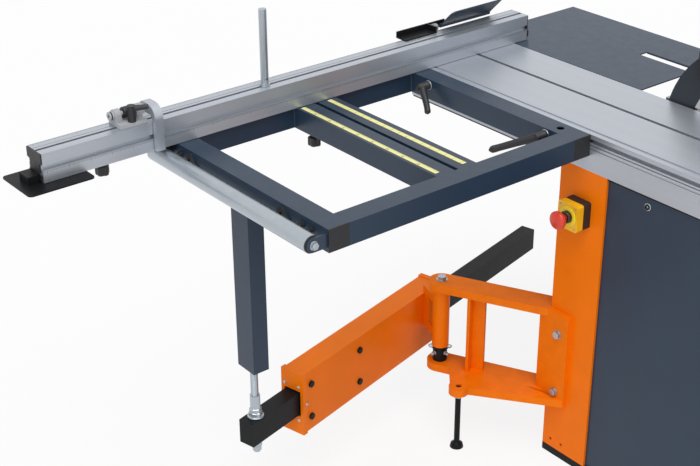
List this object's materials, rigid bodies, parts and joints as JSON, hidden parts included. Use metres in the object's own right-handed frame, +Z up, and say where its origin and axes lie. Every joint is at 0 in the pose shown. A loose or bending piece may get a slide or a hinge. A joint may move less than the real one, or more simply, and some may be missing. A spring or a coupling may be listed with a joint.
{
  "type": "sliding table saw",
  "caption": "Floor-standing sliding table saw with an outrigger, crosscut fence, flip stop and a swinging support arm beside a tilting blade unit.",
  "frame": {"origin": "On the floor, in the middle of the cabinet's four floor bolts.", "axes": "+X from the sliding table towards the saw table, +Y the way the wood is pushed through the blade, +Z up."},
  "size_m": [2.2215, 1.647, 1.113],
  "materials": {
    "cabinet": "anthracite powder coat",
    "column": "orange powder coat",
    "plinth": "black powder coat",
    "slide_rail": "anodised",
    "main_table": "ground and oiled",
    "outfeed_plate": "anthracite powder coat",
    "right_table": "anthracite powder coat",
    "rip_rail": "zinc plated",
    "estop_base": "moulded black",
    "estop_cover": "moulded yellow",
    "arm_bracket": "orange powder coat",
    "bracket_bolts": "zinc plated",
    "trunnions": "ground and oiled",
    "switch_box": "moulded black",
    "side_door": "anthracite powder coat",
    "switch_rocker": "moulded green",
    "estop_button": "moulded red",
    "levelling_foot": "black powder coat",
    "carriage": "anodised",
    "carriage_caps": "moulded black",
    "ball_cage": "hardened balls in a steel cage",
    "outrigger_frame": "anthracite powder coat",
    "scale_tapes": "printed tape",
    "tube_caps": "moulded black",
    "roller_ears": "anthracite powder coat",
    "beam_knob": "moulded black",
    "roller": "zinc plated",
    "clamp_lever_front": "moulded black",
    "clamp_lever_rear": "moulded black",
    "fence_profile": "anodised",
    "fence_caps": "moulded black",
    "fence_pin": "zinc plated",
    "back_bracket": "black powder coat",
    "knurled_knob": "knurled",
    "flap": "black powder coat",
    "extension_bar": "black powder coat",
    "extension_knob": "moulded black",
    "stop_block": "anodised",
    "stop_arm": "anodised",
    "stop_lever": "moulded black",
    "clamp_rod": "zinc plated",
    "swing_arm": "orange powder coat",
    "arm_fittings": "black powder coat",
    "telescope_tube": "black powder coat",
    "post": "anthracite powder coat",
    "post_screw": "zinc plated",
    "tilt_frame": "ground and oiled",
    "lift_carrier": "ground and oiled",
    "motor": "grey enamel",
    "riving_knife": "dark phosphate",
    "drive_belt": "ribbed belt",
    "motor_pulley": "turned",
    "saw_arbor": "turned",
    "saw_blade": "ground",
    "blade_guard": "moulded",
    "tilt_wheel": "moulded black",
    "height_wheel": "moulded black",
    "rip_slide": "dark enamel",
    "rip_profile": "anodised",
    "rip_lever": "moulded black"
  },
  "bodies": {
    "base": {"cabinet": "cabinet", "column": "column", "plinth": "plinth", "slide_rail": "slide_rail", "main_table": "main_table", "outfeed_plate": "outfeed_plate", "right_table": "right_table", "rip_rail": "rip_rail", "estop_base": "estop_base", "estop_cover": "estop_cover", "arm_bracket": "arm_bracket", "bracket_bolts": "bracket_bolts", "trunnions": "trunnions", "switch_box": "switch_box"},
    "door": {"side_door": "side_door"},
    "rocker": {"switch_rocker": "switch_rocker"},
    "estop": {"estop_button": "estop_button"},
    "foot": {"levelling_foot": "levelling_foot"},
    "sliding_table": {"carriage": "carriage", "carriage_caps": "carriage_caps"},
    "cage": {"ball_cage": "ball_cage"},
    "outrigger": {"outrigger_frame": "outrigger_frame", "scale_tapes": "scale_tapes", "tube_caps": "tube_caps", "roller_ears": "roller_ears"},
    "underknob": {"beam_knob": "beam_knob"},
    "support_roller": {"roller": "roller"},
    "front_lever": {"clamp_lever_front": "clamp_lever_front"},
    "rear_lever": {"clamp_lever_rear": "clamp_lever_rear"},
    "fence": {"fence_profile": "fence_profile", "fence_caps": "fence_caps", "fence_pin": "fence_pin", "back_bracket": "back_bracket"},
    "side_knob": {"knurled_knob": "knurled_knob"},
    "back_flap": {"flap": "flap"},
    "extension": {"extension_bar": "extension_bar"},
    "end_knob": {"extension_knob": "extension_knob"},
    "stop": {"stop_block": "stop_block"},
    "flip_arm": {"stop_arm": "stop_arm"},
    "ratchet": {"stop_lever": "stop_lever"},
    "rod": {"clamp_rod": "clamp_rod"},
    "arm": {"swing_arm": "swing_arm", "arm_fittings": "arm_fittings"},
    "tube": {"telescope_tube": "telescope_tube"},
    "support_post": {"post": "post", "post_screw": "post_screw"},
    "tilt": {"tilt_frame": "tilt_frame"},
    "lift": {"lift_carrier": "lift_carrier", "motor": "motor", "riving_knife": "riving_knife", "drive_belt": "drive_belt"},
    "motor_shaft": {"motor_pulley": "motor_pulley"},
    "arbor": {"saw_arbor": "saw_arbor", "saw_blade": "saw_blade"},
    "guard": {"blade_guard": "blade_guard"},
    "tilt_crank": {"tilt_wheel": "tilt_wheel"},
    "height_crank": {"height_wheel": "height_wheel"},
    "rip_carrier": {"rip_slide": "rip_slide"},
    "rip_rule": {"rip_profile": "rip_profile"},
    "rip_clamp": {"rip_lever": "rip_lever"}
  },
  "joints": [
    {"name": "carriage_slide", "type": "slide", "parent": "base", "child": "sliding_table", "axis": [0, 1, 0], "range_m": [-0.36, 0.55]},
    {"name": "cage_slide", "type": "slide", "parent": "base", "child": "cage", "axis": [0, 1, 0], "range_m": [-0.185, 0.28]},
    {"name": "outrigger_slide", "type": "slide", "parent": "sliding_table", "child": "outrigger", "axis": [0, 1, 0], "range_m": [-0.1, 0.03]},
    {"name": "front_lever_turn", "type": "hinge", "parent": "outrigger", "child": "front_lever", "pos_m": [-0.3704, 0.368, 0.855], "axis": [1, 0, 0], "range_deg": [-40, 20]},
    {"name": "rear_lever_turn", "type": "hinge", "parent": "outrigger", "child": "rear_lever", "pos_m": [-0.3704, 0.754, 0.855], "axis": [1, 0, 0], "range_deg": [-15, 50]},
    {"name": "under_knob_turn", "type": "hinge", "parent": "outrigger", "child": "underknob", "pos_m": [-0.708, 0.762, 0.82], "axis": [0, 0, 1], "range_deg": [-90, 90]},
    {"name": "roller_spin", "type": "hinge", "parent": "outrigger", "child": "support_roller", "pos_m": [-1.072, 0.55, 0.845], "axis": [0, 1, 0], "continuous": true},
    {"name": "fence_swing", "type": "hinge", "parent": "outrigger", "child": "fence", "pos_m": [-0.345, 0.8345, 0.85], "axis": [0, 0, 1], "range_deg": [0, 27]},
    {"name": "extension_slide", "type": "slide", "parent": "fence", "child": "extension", "axis": [-1, 0, 0], "range_m": [0, 0.5]},
    {"name": "end_knob_turn", "type": "hinge", "parent": "fence", "child": "end_knob", "pos_m": [-1.212, 0.8345, 0.85], "axis": [0, 0, 1], "range_deg": [-90, 90]},
    {"name": "stop_slide", "type": "slide", "parent": "fence", "child": "stop", "axis": [1, 0, 0], "range_m": [-0.12, 0.2]},
    {"name": "stop_flip", "type": "hinge", "parent": "stop", "child": "flip_arm", "pos_m": [-1.09, 0.8405, 0.959], "axis": [-1, 0, 0], "range_deg": [0, 100]},
    {"name": "ratchet_turn", "type": "hinge", "parent": "stop", "child": "ratchet", "pos_m": [-1.14, 0.8185, 0.95], "axis": [0, 0, 1], "range_deg": [-60, 0]},
    {"name": "rod_slide", "type": "slide", "parent": "fence", "child": "rod", "axis": [1, 0, 0], "range_m": [-0.05, 0.25]},
    {"name": "flap_turn", "type": "hinge", "parent": "fence", "child": "back_flap", "pos_m": [-0.147, 0.873, 0.941], "axis": [1, 0, 0], "range_deg": [-45, 40]},
    {"name": "side_knob_turn", "type": "hinge", "parent": "fence", "child": "side_knob", "pos_m": [-0.251, 0.873, 0.941], "axis": [1, 0, 0], "range_deg": [-90, 90]},
    {"name": "arm_swing", "type": "hinge", "parent": "base", "child": "arm", "pos_m": [-0.432, 0.621, 0.243], "axis": [0, 0, 1], "range_deg": [-45, 30]},
    {"name": "tube_slide", "type": "slide", "parent": "arm", "child": "tube", "axis": [-0.9715, -0.2368, 0], "range_m": [-0.09, 0.35]},
    {"name": "post_swivel", "type": "hinge", "parent": "tube", "child": "support_post", "pos_m": [-1.01527, 0.58999, 0.3], "axis": [0, 0, 1], "range_deg": [-30, 45]},
    {"name": "foot_screw", "type": "slide", "parent": "base", "child": "foot", "axis": [0, 0, 1], "range_m": [0, 0.03]},
    {"name": "estop_press", "type": "slide", "parent": "base", "child": "estop", "axis": [1, 0, 0], "range_m": [0, 0.005]},
    {"name": "door_hinge", "type": "hinge", "parent": "base", "child": "door", "pos_m": [0.329, 0.282, 0.39], "axis": [0, 0, 1], "range_deg": [0, 110]},
    {"name": "switch_rock", "type": "hinge", "parent": "base", "child": "rocker", "pos_m": [0.03, -0.376, 0.73], "axis": [1, 0, 0], "range_deg": [-8, 8]},
    {"name": "blade_tilt", "type": "hinge", "parent": "base", "child": "tilt", "pos_m": [-0.027, 0.08, 0.87], "axis": [0, 1, 0], "range_deg": [0, 45]},
    {"name": "blade_height", "type": "slide", "parent": "tilt", "child": "lift", "axis": [0, 0, 1], "range_m": [-0.068, 0]},
    {"name": "arbor_spin", "type": "hinge", "parent": "lift", "child": "arbor", "pos_m": [-0.027, 0.08, 0.8145], "axis": [1, 0, 0], "continuous": true},
    {"name": "motor_spin", "type": "hinge", "parent": "lift", "child": "motor_shaft", "pos_m": [0.12, 0.08, 0.6295], "axis": [1, 0, 0], "continuous": true},
    {"name": "guard_lift", "type": "hinge", "parent": "lift", "child": "guard", "pos_m": [-0.027, 0.22032, 0.95981], "axis": [-1, 0, 0], "range_deg": [0, 25]},
    {"name": "tilt_crank_turn", "type": "hinge", "parent": "base", "child": "tilt_crank", "pos_m": [0.17, -0.36, 0.6], "axis": [0, 1, 0], "range_deg": [-5, 1625]},
    {"name": "height_crank_turn", "type": "hinge", "parent": "base", "child": "height_crank", "pos_m": [-0.11, -0.36, 0.6], "axis": [0, 1, 0], "range_deg": [-1565, 5]},
    {"name": "rip_fence_slide", "type": "slide", "parent": "base", "child": "rip_carrier", "axis": [1, 0, 0], "range_m": [-0.31, 0.3]},
    {"name": "rip_rule_slide", "type": "slide", "parent": "rip_carrier", "child": "rip_rule", "axis": [0, 1, 0], "range_m": [-0.03, 0.15]},
    {"name": "rip_lever_turn", "type": "hinge", "parent": "rip_carrier", "child": "rip_clamp", "pos_m": [0.438, -0.574, 0.866], "axis": [0, 1, 0], "range_deg": [-20, 70]}
  ],
  "couplings": [
    {"joint": "cage_slide", "follows": "carriage_slide", "ratio": 0.5},
    {"joint": "arm_swing", "follows": "carriage_slide", "rad_per_m": -1.339},
    {"joint": "post_swivel", "follows": "carriage_slide", "rad_per_m": 1.339},
    {"joint": "motor_spin", "follows": "arbor_spin", "ratio": 0.7368},
    {"joint": "tilt_crank_turn", "follows": "blade_tilt", "ratio": 36},
    {"joint": "height_crank_turn", "follows": "blade_height", "rad_per_m": 400}
  ]
}
